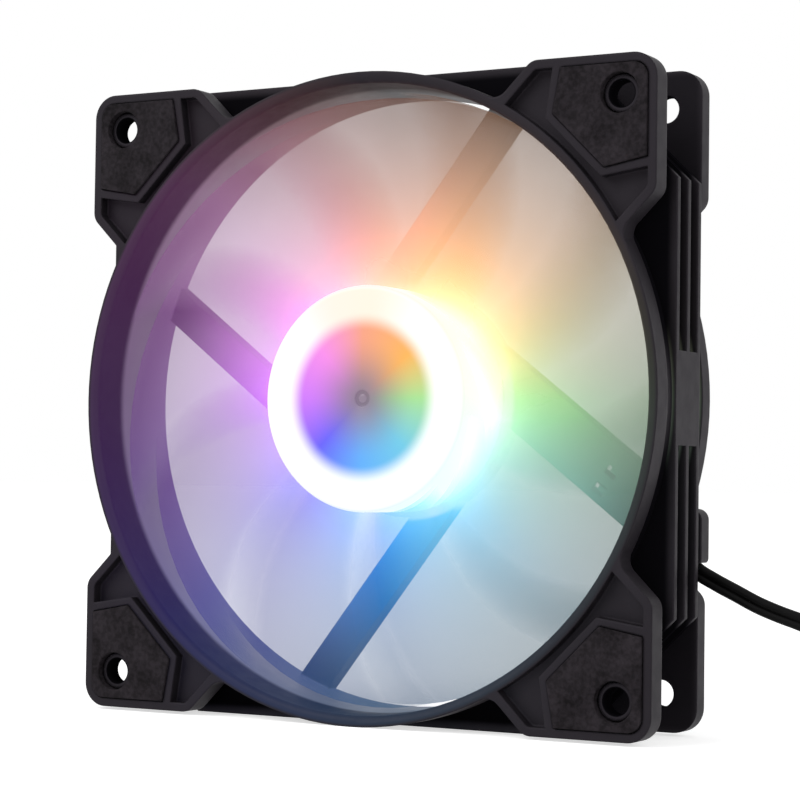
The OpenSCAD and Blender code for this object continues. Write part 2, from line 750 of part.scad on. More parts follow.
module hub_profile() {
    difference() {
        union() {
            translate([0, hub_rear_z]) square([hub_r - hub_round, hub_front_z - hub_rear_z]);
            translate([0, hub_rear_z]) square([hub_r, hub_front_z - hub_round - hub_rear_z]);
            translate([hub_r - hub_round, hub_front_z - hub_round]) circle(hub_round);
        }
        translate([-hub_r, -hub_r]) square([hub_r, 2 * hub_r]);
        translate([0, hub_rear_z - cut]) square([hub_in_r, hub_inner_z - hub_rear_z + cut]);
        translate([0, hub_front_z - gate_depth]) square([gate_d / 2, gate_depth + cut]);
    }
    // Collar that centres the yoke
    translate([yoke_r + fit_gap, hub_inner_z - 2 * yoke_t]) square([yoke_t, 2 * yoke_t + hub_face_t / 2]);
}

module impeller() color("#e9e4ea") fan() {
    rotate_extrude() hub_profile();
    for (k = [0:blade_count - 1]) rotate(360 * k / blade_count) blade();
}

module rotor_yoke() color("#77797d") fan() {
    tube(yoke_r, yoke_in_r, yoke_rear_z, hub_inner_z);
    tube(yoke_r, shaft_r + fit_gap, yoke_plate_z, hub_inner_z);
}

module magnet_ring() color("#3a3735") fan()
    tube(magnet_out_r, magnet_in_r, magnet_rear_z, magnet_front_z);

module shaft_bush() color("#c2a05a") fan() tube(bush_d / 2, shaft_r + fit_gap, bush_rear_z, yoke_plate_z);

module rotor_shaft() color("#cfd2d6") fan() difference() {
    disc(shaft_r, shaft_rear_z, hub_inner_z);
    tube(shaft_r + cut, groove_r, clip_rear_z - fit_gap, clip_front_z + fit_gap);
}

// The retaining ring is open on one side, to be pushed on from there
module retaining_ring() color("#d9c9a0") fan() difference() {
    tube(tube_in_r - clip_gap, groove_r + fit_gap, clip_rear_z, clip_front_z);
    translate([0, -clip_mouth / 2, clip_rear_z - cut]) cube([tube_r, clip_mouth, clip_t + 2 * cut]);
}

function heading(path, i) = unit(path[min(i + 1, len(path) - 1)] - path[max(i - 1, 0)]);
function skin(path, section) = [for (i = [0:len(path) - 1])
    let (along = heading(path, i), side = unit(cross(along, [0, 0, 1])), up = cross(side, along))
    [for (p = section) path[i] + p[0] * lead_t * side + p[1] * lead_w * up]];

// A tube of one section along a path, with its width kept upright
module flex(path, section) {
    n = len(section);
    last = (len(path) - 1) * n;
    sides = [for (i = [0:len(path) - 2], j = [0:n - 1])
        let (a = i * n + j, b = i * n + (j + 1) % n)
        each [[a, b, a + n], [b, b + n, a + n]]];
    ends = [for (j = [1:n - 2]) each [[0, j + 1, j], [last, last + j, last + j + 1]]];
    polyhedron([for (ring = skin(path, section)) each ring], concat(sides, ends));
}

// The coil winds inwards on the floor layer, climbs, and winds outwards on the upper layer
function coil_point(turns) =
    let (out = abs(turns - layer_turns),
        r = coil_r - coil_step * (layer_turns - out),
        a = 90 - 360 * turns,
        lift = ramp((turns - layer_turns) / climb_turns + 0.5))
    coil_mid + [r * cos(a), r * sin(a), coil_low_z + lift * (coil_high_z - coil_low_z)];

module fan_lead() color("#141316") flex(lead_route, twin);

module lead_coil() color("#141316") {
    flex(coil_path, plain);
    rings = skin(coil_path, plain);
    half_turn = loop_rings / 2;
    echo(coil_self_gap = min([for (i = [0:len(rings) - 1], j = [i + half_turn:1:len(rings) - 1])
        if (norm(coil_path[i] - coil_path[j]) < 3 * lead_w)
            min([for (p = rings[i], q = rings[j]) norm(p - q)])]));
}

module lead_tail() color("#141316") flex(tail_route, twin);

// The tie goes round the coil's turns on the side away from the fan
module lead_tie() color("#232225") {
    in_w = coil_step * layer_turns + lead_t + 2 * tie_gap;
    in_h = coil_high_z + lead_w / 2 + tie_gap - tie_t;
    mid = coil_mid + [coil_r - coil_step * layer_turns / 2, 0, 0];
    translate(mid + [0, tie_w / 2, 0]) rotate([90, 0, 0]) linear_extrude(tie_w) difference() {
        translate([-in_w / 2 - tie_t, 0]) square([in_w + 2 * tie_t, in_h + 2 * tie_t]);
        translate([-in_w / 2, tie_t]) square([in_w, in_h]);
    }
}

module plug_place() {
    translate([tail_end[0], tail_end[1], 0]) rotate(plug_turn) translate([plug_gap, 0, 0]) children();
}

// Repeats a shape from the floor of the plug's cavities forward, in the ways that are named
module in_ways(ways) {
    for (k = ways) {
        across = (k - (plug_ways - 1) / 2) * plug_pitch;
        translate([plug_l - cavity_depth, across, (plug_h - cavity_w) / 2]) children();
    }
}

module plug_housing() color("#18171a") plug_place() {
    difference() {
        translate([0, -plug_w / 2, 0]) cube([plug_l, plug_w, plug_h]);
        in_ways([0:plug_ways - 1]) translate([0, -cavity_w / 2, 0]) cube([plug_l, cavity_w, cavity_w]);
    }
    for (side = [-1, 1])
        translate([(plug_l - plug_rib_l) / 2, (side * plug_rib_pitch - plug_rib) / 2, plug_h - plug_rib])
            cube([plug_rib_l, plug_rib, 2 * plug_rib]);
}

// Two of the ways hold a contact, a square socket for a pin
module plug_contacts() color("#d3c28a") plug_place() in_ways([0, 1]) difference() {
    translate([0, -contact_w / 2, 0]) cube([contact_l, contact_w, contact_w]);
    translate([contact_t, contact_t - contact_w / 2, contact_t])
        cube([plug_l, contact_w - 2 * contact_t, contact_w - 2 * contact_t]);
}

frame();
for (k = [0:3]) pad(k, 0);
for (k = [0:3]) pad(k, 1);
bearing_tube();
sleeve_bearing();
oil_seal();
thrust_pad();
stator_core();
front_insulator();
rear_insulator();
for (k = [0:3]) stator_winding(k);
motor_board();
hall_sensor();
driver_chip();
board_passives();
for (k = [0:lamp_count - 1]) hub_lamp(k);
impeller();
rotor_yoke();
magnet_ring();
shaft_bush();
rotor_shaft();
retaining_ring();
fan_lead();
lead_coil();
lead_tail();
lead_tie();
plug_housing();
plug_contacts();
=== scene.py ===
import colorsys
import json
import math
import bmesh
import bpy
from mathutils import Matrix, Vector


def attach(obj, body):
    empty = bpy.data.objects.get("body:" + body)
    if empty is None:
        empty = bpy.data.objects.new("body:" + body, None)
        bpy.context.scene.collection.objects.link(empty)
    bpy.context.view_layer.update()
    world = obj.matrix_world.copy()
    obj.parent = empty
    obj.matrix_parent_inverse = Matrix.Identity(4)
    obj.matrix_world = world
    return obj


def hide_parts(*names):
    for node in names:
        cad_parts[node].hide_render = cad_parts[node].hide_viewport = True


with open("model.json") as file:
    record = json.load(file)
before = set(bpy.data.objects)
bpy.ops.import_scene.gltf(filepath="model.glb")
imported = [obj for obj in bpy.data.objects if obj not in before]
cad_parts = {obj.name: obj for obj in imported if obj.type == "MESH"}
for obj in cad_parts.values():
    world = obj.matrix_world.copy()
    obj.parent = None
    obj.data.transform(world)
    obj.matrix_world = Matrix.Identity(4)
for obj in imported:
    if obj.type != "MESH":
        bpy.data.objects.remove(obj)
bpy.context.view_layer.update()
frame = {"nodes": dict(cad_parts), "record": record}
nodes = frame["nodes"]
mm = 0.001
axisHeight = 60 * mm  # the spin axis runs along Y at this height


# shader writing

class Wire:
    # a shader socket: arithmetic on it adds Math nodes, and add() makes any other node
    def __init__(self, tree, socket=None):
        self.tree = tree
        self.socket = socket

    def add(self, kind, settings=None, inputs=None, out=0):
        node = self.tree.nodes.new("ShaderNode" + kind)
        for name, value in (settings or {}).items():
            if name == "stops":
                ramp = node.color_ramp
                while len(ramp.elements) < len(value):
                    ramp.elements.new(1)
                for element, (place, colour) in zip(ramp.elements, value):
                    element.position = place
                    element.color = colour
            else:
                setattr(node, name, value)
        for name, value in (inputs or {}).items():
            if isinstance(value, Wire):
                self.tree.links.new(value.socket, node.inputs[name])
            else:
                node.inputs[name].default_value = value
        return Wire(self.tree, node.outputs[out] if node.outputs else None)

    def out(self, name):
        return Wire(self.tree, self.socket.node.outputs[name])

    def math(self, operation, *values):
        return self.add("Math", {"operation": operation}, dict(enumerate(values)))

    def __add__(self, other):
        return self.math("ADD", self, other)

    def __sub__(self, other):
        return self.math("SUBTRACT", self, other)

    def __rsub__(self, other):
        return self.math("SUBTRACT", other, self)

    def __mul__(self, other):
        return self.math("MULTIPLY", self, other)

    def __truediv__(self, other):
        return self.math("DIVIDE", self, other)

    def __neg__(self):
        return self.math("MULTIPLY", self, -1)

    __radd__ = __add__
    __rmul__ = __mul__

    # 0 before start, 1 after end, smooth between
    def step(self, start, end):
        return self.add("MapRange", {"interpolation_type": "SMOOTHSTEP"}, {0: self, 1: start, 2: end})

    # this number blends from one colour to another
    def blend(self, first, second):
        return self.add("Mix", {"data_type": "RGBA"}, {0: self, 6: first, 7: second}, 2)

    # this colour times a number
    def dim(self, level):
        return self.add("VectorMath", {"operation": "SCALE"}, {0: self, 3: level})

    # this colour plus another
    def plus(self, other):
        return self.add("VectorMath", {"operation": "ADD"}, {0: self, 1: other})

    # the distance that this number and one at right angles to it make
    def reach(self, other):
        return self.math("SQRT", self * self + other * other)


def startMaterial(name):
    material = bpy.data.materials.new(name)
    material.use_nodes = True
    material.node_tree.nodes.clear()
    return material, Wire(material.node_tree)


def endMaterial(material, pen, inputs):
    shader = pen.add("BsdfPrincipled", None, inputs)
    pen.add("OutputMaterial", None, {"Surface": shader})
    return material


def rgb(level, tint=(1, 1, 1)):
    return (level * tint[0], level * tint[1], level * tint[2], 1)


# a moulded surface: the size and depth of its fine grain, and how far its edges are rounded
def grainNormal(pen, size, depth, softEdge):
    place = pen.add("TexCoord", out="Object")
    grain = pen.add("TexNoise", None, {"Vector": place, "Scale": 1 / size, "Detail": 3, "Roughness": 0.6})
    edge = pen.add("Bevel", {"samples": 6}, {"Radius": softEdge})
    return pen.add("Bump", None, {"Strength": 1, "Distance": depth, "Height": grain, "Normal": edge})


# slow variation over a surface, from 0 to 1
def mottle(pen, size, detail=2):
    place = pen.add("TexCoord", out="Object")
    return pen.add("TexNoise", None, {"Vector": place, "Scale": 1 / size, "Detail": detail}).step(0.3, 0.7)


# a level that varies by spread with a mask
def varied(level, spread, mask):
    return level + spread * mask


# X, Y and Z of a point's position or normal
def surfaceParts(pen, kind):
    x = pen.add("SeparateXYZ", None, {0: pen.add("NewGeometry", out=kind)})
    return x, x.out("Y"), x.out("Z")


# where a point is round the spin axis: angle as a part of a turn from the right, and distance
def roundAxis(pen):
    across, _, height = surfaceParts(pen, "Position")
    up = height - axisHeight
    turn = pen.math("ARCTAN2", up, across) / math.tau
    return pen.math("FRACT", turn + 1), across.reach(up)


# the lamps' light round the axis: degrees from the right, hue, saturation, level on the blades, level in the hub,
# and the part of it that reaches the tips
lampLook = (
    (0, 0.30, 0.68, 0.6, 0.74, 0.07),
    (40, 0.07, 0.98, 0.96, 0.97, 0.01),
    (90, 0.032, 0.82, 0.78, 0.92, 0),
    (135, 0.86, 0.78, 0.5, 0.93, 0.26),
    (180, 0.76, 0.87, 0.57, 0.95, 0.2),
    (225, 0.67, 0.96, 0.49, 1, 0.33),
    (270, 0.605, 0.96, 0.56, 0.95, 0.17),
    (315, 0.555, 0.89, 0.62, 0.78, 0.04),
)


# a closed ramp round the axis, from rows of degrees and a colour
def roundRamp(pen, turn, rows):
    stops = [(angle / 360, colour) for angle, colour in rows]
    return pen.add("ValToRGB", {"stops": [*stops, (1, stops[0][1])]}, {0: turn})


# the light's colour at this angle, on the blades or in the hub, with the tips' part in its alpha
def lampColour(pen, turn, inHub=False):
    return roundRamp(pen, turn, [(angle, (*colorsys.hsv_to_rgb(hue, saturation, hub if inHub else level), tips))
                                 for angle, hue, saturation, level, hub, tips in lampLook])


# mesh making

def meshObject(name, vertices, faces, materials, smooth=True):
    mesh = bpy.data.meshes.new(name)
    mesh.from_pydata(vertices, [], faces)
    mesh.polygons.foreach_set("use_smooth", [smooth] * len(mesh.polygons))
    for material in materials:
        mesh.materials.append(material)
    work = bmesh.new()
    work.from_mesh(mesh)
    bmesh.ops.recalc_face_normals(work, faces=work.faces)
    work.to_mesh(mesh)
    work.free()
    made = bpy.data.objects.new(name, mesh)
    bpy.context.scene.collection.objects.link(made)
    return made


# quads between rings of equal length, closed round each ring
def ringFaces(ringCount, ringSize, closed=False):
    faces = []
    for i in range(ringCount if closed else ringCount - 1):
        a = i * ringSize
        b = (i + 1) % ringCount * ringSize
        for j in range(ringSize):
            k = (j + 1) % ringSize
            faces.append((a + j, a + k, b + k, b + j))
    return faces


# fan coordinates: right and up from the axis, and forward from the middle of the frame, in mm
def fanPoint(right, up, forward):
    return Vector((right * mm, -forward * mm, up * mm + axisHeight))


# camera, at the photograph's viewing angle

cameraView = {
    "aim": (9.995 * mm, -12.5 * mm, 59.495 * mm),
    "azimuth": 29.151,
    "elevation": -2.097,
    "roll": 0.794,
    "distance": 421.2 * mm,
    "lens": 104.85,
    "sensor": 36,
    "clip": (10 * mm, 100),
}


def placeCamera(look):
    azimuth = math.radians(look["azimuth"])
    elevation = math.radians(look["elevation"])
    back = Vector((math.sin(azimuth) * math.cos(elevation), -math.cos(azimuth) * math.cos(elevation),
                   math.sin(elevation)))
    camera = bpy.data.objects.new("camera", bpy.data.cameras.new("camera"))
    bpy.context.scene.collection.objects.link(camera)
    camera.data.sensor_width = look["sensor"]
    camera.data.lens = look["lens"]
    camera.data.clip_start, camera.data.clip_end = look["clip"]
    turned = (-back).to_track_quat("-Z", "Y").to_matrix() @ Matrix.Rotation(math.radians(look["roll"]), 3, "Z")
    camera.matrix_world = Matrix.Translation(Vector(look["aim"]) + back * look["distance"]) @ turned.to_4x4()
    bpy.context.scene.camera = camera


placeCamera(cameraView)
print("camera placed")


# lead: a flat two-core cable from the board, along its strut, to a small coil and the plug

leadShape = {
    "coreRadius": 0.8,
    "coreOffset": 0.75,  # each core's middle from the lead's middle
    "corePoints": 10,
    "strut": ((12.98, 10.2, 67.06), (48.21, 10.2, 40.02)),  # the straight part, in the strut's channel
    "strutPoints": 6,
    "route": (
        (53, 10.2, 34.8), (58, 10.2, 30), (62, 10.2, 27.7), (66, 10.2, 25.8), (70, 10.2, 23.9),
        (74, 10.3, 22.4), (78, 10.5, 21.1), (82, 10.9, 19.4), (85.1, 11.8, 17.2), (87.6, 12.9, 13.2),
        (89.6, 14.2, 9.2), (92.1, 15.4, 5.4), (95.6, 16, 3), (99.9, 16.1, 2.6),
    ),
    "coilMiddle": (103, 0, 0),
    "coilRadius": 16.1,
    "coilStep": 2,
    "layerTurns": 1.5,
    "layerHeights": (2.6, 6.2),
    "climbTurns": 0.5,
    "turnPoints": 36,
    "tail": ((106.1, 16.1, 6.2), (109.9, 15.9, 6.1), (113.4, 14.9, 5.6), (116.6, 13.6, 4.8), (119.4, 12.1, 4),
             (121.8, 10.6, 3.6)),
    "leaves": (21.5, 10.2, 60.4),  # where it comes out of the motor base
    "width": 3.1,
    "stepsBetween": 4,
}


def coilPoint(shape, turns):
    outward = abs(turns - shape["layerTurns"])
    radius = shape["coilRadius"] - shape["coilStep"] * (shape["layerTurns"] - outward)
    angle = math.radians(90 - 360 * turns)
    climb = min(1, max(0, (turns - shape["layerTurns"]) / shape["climbTurns"] + 0.5))
    low, high = shape["layerHeights"]
    height = low + climb * climb * (3 - 2 * climb) * (high - low)
    return Vector(shape["coilMiddle"]) + Vector((radius * math.cos(angle), radius * math.sin(angle), height))


# a smooth curve through points
def smoothPath(points, steps):
    points = [Vector(p) for p in points]
    path = []
    for i in range(len(points) - 1):
        before, a, b, after = points[max(i - 1, 0)], points[i], points[i + 1], points[min(i + 2, len(points) - 1)]
        for k in range(steps):
            t = k / steps
            path.append((a * 2 + (b - before) * t + (before * 2 - a * 5 + b * 4 - after) * t ** 2
                         + (a * 3 - before - b * 3 + after) * t ** 3) / 2)
    return path + [points[-1]]


def leadPath(shape):
    turns = 2 * shape["layerTurns"]
    count = round(turns * shape["turnPoints"])
    coil = [coilPoint(shape, turns * k / count) for k in range(count + 1)]
    first, last = (Vector(end) for end in shape["strut"])
    strut = [first.lerp(last, k / (shape["strutPoints"] - 1)) for k in range(shape["strutPoints"])]
    arrive = smoothPath([*strut, *shape["route"], coil[0]], shape["stepsBetween"])
    leave = smoothPath([coil[-1], *shape["tail"]], shape["stepsBetween"])
    return [point * mm for point in arrive[:-1] + coil + leave[1:]]


# two round cores that run together along a groove
def leadSection(shape):
    groove = math.acos(shape["coreOffset"] / shape["coreRadius"])
    count = shape["corePoints"]
    section = []
    for side in (1, -1):
        for k in range(count):
            angle = -math.pi + groove + (math.tau - 2 * groove) * k / (count - 1)
            up = side * (shape["coreOffset"] + shape["coreRadius"] * math.cos(angle))
            section.append((side * shape["coreRadius"] * math.sin(angle) * mm, up * mm))
    return section


vinylLook = {
    "dark": (0.003, 0.003, 0.003, 1),
    "pale": (0.006, 0.00582, 0.00612, 1),
    "cloud": 9 * mm,
    "roughness": (0.4, 0.12),
    "shine": 0.08,
    "grain": (0.5 * mm, 0.01 * mm, 0.1 * mm),
}


def vinylMaterial(look):
    material, pen = startMaterial("leadVinyl")
    cloud = mottle(pen, look["cloud"])
    return endMaterial(material, pen, {
        "Base Color": cloud.blend(look["dark"], look["pale"]),
        "Roughness": varied(*look["roughness"], cloud),
        "Specular IOR Level": look["shine"],
        "Normal": grainNormal(pen, *look["grain"]),
    })


def makeLead(shape):
    path = leadPath(shape)
    section = leadSection(shape)
    size = len(section)
    vertices = []
    for i, point in enumerate(path):
        along = (path[min(i + 1, len(path) - 1)] - path[max(i - 1, 0)]).normalized()
        side = along.cross(Vector((0, 0, 1))).normalized()
        up = side.cross(along)
        vertices += [point + side * s + up * u for s, u in section]
    faces = ringFaces(len(path), size)
    last = len(vertices) - size
    faces += [tuple(range(size)), tuple(range(last, last + size))]
    return meshObject("leadCable", vertices, faces, [vinylMaterial(vinylLook)]), path


lead, leadRoute = makeLead(leadShape)
leadLength = sum((b - a).length for a, b in zip(leadRoute, leadRoute[1:]))
print("lead made, length in mm:", round(leadLength / mm, 1))


# tie: a flat strap round the coil's turns

tieShape = {
    "middle": (117.6, 0, 0),
    "inside": (5.1, 7.2),
    "thickness": 0.8,
    "width": 3.5,
    "cornerRadius": 1.1,
    "cornerPoints": 6,
    "edge": 0.25,
}

strapLook = {
    "dark": 0.012,
    "pale": 0.022,
    "cloud": 3 * mm,
    "roughness": (0.45, 0.15),
    "grain": (0.4 * mm, 0.015 * mm, 0.1 * mm),
}


def strapMaterial(look):
    material, pen = startMaterial("tieStrap")
    cloud = mottle(pen, look["cloud"])
    return endMaterial(material, pen, {
        "Base Color": cloud.blend(rgb(look["dark"]), rgb(look["pale"])),
        "Roughness": varied(*look["roughness"], cloud),
        "Normal": grainNormal(pen, *look["grain"]),
    })


def makeTie(shape):
    width, height = shape["inside"]
    thick = shape["thickness"]
    corner = shape["cornerRadius"]
    reach = width / 2 + thick
    rise = height + 2 * thick
    centres = ((reach - corner, rise - corner, 0), (corner - reach, rise - corner, 90),
               (corner - reach, corner, 180), (reach - corner, corner, 270))
    half = shape["width"] / 2
    edge = shape["edge"]
    # the strap's section: distance in from the outside, and along Y
    section = ((0, edge - half), (0, half - edge), (edge, half), (thick - edge, half), (thick, half - edge),
               (thick, edge - half), (thick - edge, -half), (edge, -half))
    middle = Vector(shape["middle"])
    vertices = []
    for x, z, start in centres:
        for k in range(shape["cornerPoints"]):
            angle = math.radians(start + 90 * k / (shape["cornerPoints"] - 1))
            for inward, y in section:
                r = corner - inward
                vertices.append((middle + Vector((x + r * math.cos(angle), y, z + r * math.sin(angle)))) * mm)
    faces = ringFaces(len(centres) * shape["cornerPoints"], len(section), closed=True)
    return meshObject("leadStrap", vertices, faces, [strapMaterial(strapLook)])


tie = makeTie(tieShape)
for piece, replaced in ((lead, ("fan_lead", "lead_coil", "lead_tail")), (tie, ("lead_tie",))):
    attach(piece, "fan_body")
    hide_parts(*replaced)


# impeller: a hub with nine swept blades, in milky plastic that the lamps light from inside

impellerShape = {
    "hubRadius": 21,
    "hubInside": 19.5,
    "hubFront": 9,
    "hubInner": 7.4,
    "hubRear": -7.4,
    "hubRound": 1,
    "roundSteps": 12,
    "rearCut": 0.3,  # small cuts at the hub's edges: outside, inside, and in its corner
    "insideCut": 0.2,
    "cornerCut": 0.4,
    "collar": (14.43, 15.43, 5.4),  # inner and outer radius, and rear edge, of the yoke's collar
    # the round mark in the middle of the face: radius, and depth below the face
    "mark": ((1.75, 0), (1.55, 0.08), (1.4, 0.4), (0.95, 0.4), (0.8, 0.2), (0.5, 0.1), (0, 0.08)),
    "hubSteps": 144,
    "blades": 9,
    # at a blade's root and tip: radius, arc in degrees, leading edge, thickness, and the arc over which
    # the plastic thins out at both edges
    "radius": (20.25, 57.1),
    "arc": (64, 58),
    "leading": (5.8, 5.4),
    "thick": (2, 1.2),
    "clear": (15, 12),
    "sweep": 16,
    "trailing": -6.8,
    "camber": 0.35,
    "edgeThick": 0.6,
    "edgeRound": 0.025,
    "tipRound": 0.985,  # the tip is rounded from here to the end of the span
    "tipLeast": 0.06,
    "fillet": 0.8,
    "spanSteps": 30,
    "tipCrowd": 1.3,  # over 1, the steps are closer at the tip
    "chordSteps": 18,
    "sharpAngle": 40,
}


# a blade's size at a part of its span, 0 at the root and 1 at the tip
def onSpan(shape, name, f):
    root, tip = shape[name]
    return root + f * (tip - root)


def bladePoint(shape, f, c, face):
    radius, arc, front, thick = (onSpan(shape, name, f) for name in ("radius", "arc", "leading", "thick"))
    drop = front - shape["trailing"]
    camber = shape["camber"]
    angle = shape["sweep"] * f * f + arc * (0.5 - c)
    forward = front - drop * ((1 - camber) * c + camber * c * c)
    along = Vector((radius * math.radians(arc), drop * (1 - camber + 2 * camber * c))).normalized()
    thick = shape["edgeThick"] + (thick - shape["edgeThick"]) * 4 * c * (1 - c)
    thick += shape["fillet"] * math.exp(-max(0, radius - shape["hubRadius"]) / shape["fillet"])
    toEdge = max(0, (abs(2 * c - 1) - 1) / shape["edgeRound"] + 1)
    toTip = max(0, (f - 1) / (1 - shape["tipRound"]) + 1)
    tipEase = math.sqrt(max(shape["tipLeast"], 1 - toTip ** 2))
    half = face * thick / 2 * math.sqrt(1 - min(1, toEdge) ** 2) * tipEase
    angle = math.radians(angle) - along.y * half / radius
    return radius * math.cos(angle), radius * math.sin(angle), forward + along.x * half


# how much of the full plastic there is at a point of the chord, from 0 at the edges to 1
def bladeDepth(shape, f, c):
    return min(1, min(c, 1 - c) * onSpan(shape, "arc", f) / onSpan(shape, "clear", f))


def bladeMesh(shape):
    n = shape["chordSteps"]
    chord = [0.5 - 0.5 * math.cos(math.pi * k / n) for k in range(n + 1)]  # closer at both edges
    loop = [(c, 1) for c in chord] + [(c, -1) for c in chord[-2:0:-1]]
    rows = shape["spanSteps"]
    span = [1 - (1 - k / rows) ** shape["tipCrowd"] for k in range(rows + 1)]
    vertices = [bladePoint(shape, f, c, face) for f in span for c, face in loop]
    depths = [bladeDepth(shape, f, c) for f in span for c, _ in loop]
    faces = ringFaces(len(span), len(loop))
    for start in (0, len(vertices) - len(loop)):
        for k in range(n):
            a, b = start + k, start + k + 1
            c, d = start + (len(loop) - k) % len(loop), start + (len(loop) - k - 1) % len(loop)
            faces.append(tuple(dict.fromkeys((a, b, d, c))))
    return vertices, [f for f in faces if len(f) > 2], depths


def hubProfile(shape):
    r, front, ease = shape["hubRadius"], shape["hubFront"], shape["hubRound"]
    steps = shape["roundSteps"]
    arc = [(r - ease + ease * math.cos(a), front - ease + ease * math.sin(a))
           for a in (math.radians(90 * k / steps) for k in range(steps + 1))]
    collarIn, collarOut, collarRear = shape["collar"]
    inner, inside, rear = shape["hubInner"], shape["hubInside"], shape["hubRear"]
    rearCut, insideCut, cornerCut = shape["rearCut"], shape["insideCut"], shape["cornerCut"]
    face = [(markRadius, front - dip) for markRadius, dip in shape["mark"][:-1]]
    back = [(collarIn, inner), (collarIn, collarRear), (collarOut, collarRear), (collarOut, inner),
            (inside - cornerCut, inner), (inside, inner - cornerCut), (inside, rear + insideCut),
            (inside + insideCut, rear)]
    return [(r - rearCut, rear), (r, rear + rearCut)] + arc + face, back


def hubMesh(shape):
    outside, inside = hubProfile(shape)
    steps = shape["hubSteps"]
    profile = inside + outside
    vertices = []
    for r, forward in profile:
        vertices += [(r * math.cos(math.tau * k / steps), r * math.sin(math.tau * k / steps), forward)
                     for k in range(steps)]
    faces = ringFaces(len(profile), steps)
    markMiddle = shape["hubFront"] - shape["mark"][-1][1]
    for ring, forward in ((0, shape["hubInner"]), (len(profile) - 1, markMiddle)):
        middle = len(vertices)
        vertices.append((0, 0, forward))
        faces += [(ring * steps + k, ring * steps + (k + 1) % steps, middle) for k in range(steps)]
    return vertices, faces


hubLook = {
    # painted shade: the middle glows least, as the steel yoke behind it keeps the lamps' light back
    "middle": (0.24, 0.18, 0.25, 1),
    "vivid": (0.86, (0.06, 0.06, 0.06)),  # part of the lamps' colour, and white added to it
    "ring": (0.12, (0.93, 0.93, 0.93)),
    "wall": (0.25, (0.78, 0.78, 0.78)),
    "vividRadius": (0, 11.985 * mm),  # from the middle's colour to the vivid one, and so on outwards
    "ringRadius": (12.408 * mm, 16.074 * mm),
    "wallRadius": (20.2 * mm, 20.9 * mm),
    "topShadeTint": (1, 0.55, 0.18, 1),  # painted shade: the ring's top is less lit, as no lamp sits there, and has some of this warm tint
    "topShadePart": 0.32,
    "topShadeStart": (0.12, 0.24),
    "topShadeEnd": (0.3, 0.42),
    "grooveInside": (0.7 * mm, 1 * mm),  # the round mark in the middle, whose groove gets painted shade
    "grooveOutside": (1.2 * mm, 1.9 * mm),
    "grooveShade": 0.22,
    "base": 0.1,
    "roughness": (0.34, 0.08),
    "cloud": 4 * mm,
    "grain": (0.4 * mm, 0.006 * mm, 0.1 * mm),
}


def hubMaterial(look):
    material, pen = startMaterial("hubGlow")
    turn, radius = roundAxis(pen)
    colour = lampColour(pen, turn, inHub=True)
    vivid, ring, wall = (colour.dim(look[name][0]).plus(look[name][1]) for name in ("vivid", "ring", "wall"))
    # painted shade on the ring's top, where no lamp sits, in a warm tint
    topShade = turn.step(*look["topShadeStart"]) * (1 - turn.step(*look["topShadeEnd"]))
    ring = (topShade * look["topShadePart"]).blend(ring, look["topShadeTint"])
    glow = radius.step(*look["vividRadius"]).blend(look["middle"], vivid)
    glow = radius.step(*look["ringRadius"]).blend(glow, ring)
    glow = radius.step(*look["wallRadius"]).blend(glow, wall)
    # painted shade in the groove of the round mark
    groove = radius.step(*look["grooveInside"]) * (1 - radius.step(*look["grooveOutside"]))
    glow = glow.dim(1 - look["grooveShade"] * groove)
    return endMaterial(material, pen, {
        "Base Color": glow.dim(look["base"]),
        "Roughness": varied(*look["roughness"], mottle(pen, look["cloud"])),
        "Emission Color": glow,
        "Emission Strength": 1,
        "Normal": grainNormal(pen, *look["grain"]),
    })


bladeLook = {
    "glowReach": 13.4 * mm,  # the light from the hub falls off over this distance
    "glow": 2,
    "strength": 2.5,
    "halo": (0.08, 0.75),  # white light round the hub, on the left and on the right
    "haloSide": (0.3, 0.9),
    "haloReach": 3 * mm,
    # degrees from the right, share of the light behind that the full plastic keeps back, and how pale it is, which is
    # painted light: paler at the top and darker at the bottom as the light falls on the blades
    "milkAndPaintedLight": ((0, 0.75, 0.28), (26, 0.62, 0.28), (45, 0.72, 0.27), (90, 0.76, 0.24), (135, 0.66, 0.21),
             (180, 0.63, 0.13), (225, 0.64, 0.095), (270, 0.69, 0.075), (315, 0.71, 0.13)),
    "rootKept": 0.3,  # what the hub's end keeps back of the rest
    "rootReach": 9 * mm,
    "paleSpread": (0.94, 0.12),
    "paleCloud": 14 * mm,
    "roughness": (0.5, 0.06),
    "cloud": 5 * mm,
}


def bladeMaterial(look):
    material, pen = startMaterial("bladeMilk")
    turn, radius = roundAxis(pen)
    colour = lampColour(pen, turn)
    inside = pen.math("MINIMUM", impellerShape["hubRadius"] * mm - radius, 0)
    near, halo, root = (pen.math("EXPONENT", inside / look[name]) for name in ("glowReach", "haloReach", "rootReach"))
    milkAndPaintedLight = roundRamp(pen, turn, [(angle, (kept, pale, 0, 1)) for angle, kept, pale in look["milkAndPaintedLight"]])
    kept = pen.add("SeparateColor", None, {0: milkAndPaintedLight})
    passed = (1 - kept) * (1 - root * look["rootKept"])
    light = colour.dim(near * look["glow"] + colour.out("Alpha"))
    left, right = look["halo"]
    halo = halo * varied(left, right - left, pen.math("COSINE", turn * math.tau).step(*look["haloSide"]))
    # a look through a blade meets two faces, so each has half its plastic
    halfDepth = 0.5 * pen.add("Attribute", {"attribute_name": "plasticDepth"}, out="Fac")
    return endMaterial(material, pen, {
        # painted light: the ramp's second number makes the blades paler at the top and darker at the bottom, with a
        # random mottle over it
        "Base Color": kept.out("Green") * varied(*look["paleSpread"], mottle(pen, look["paleCloud"])),
        "Roughness": varied(*look["roughness"], mottle(pen, look["cloud"])),
        "Alpha": 1 - pen.math("POWER", passed, halfDepth),
        "Emission Color": light.plus(halo.blend(rgb(0), rgb(1))).dim(1 / look["strength"]),
        "Emission Strength": look["strength"],
    })


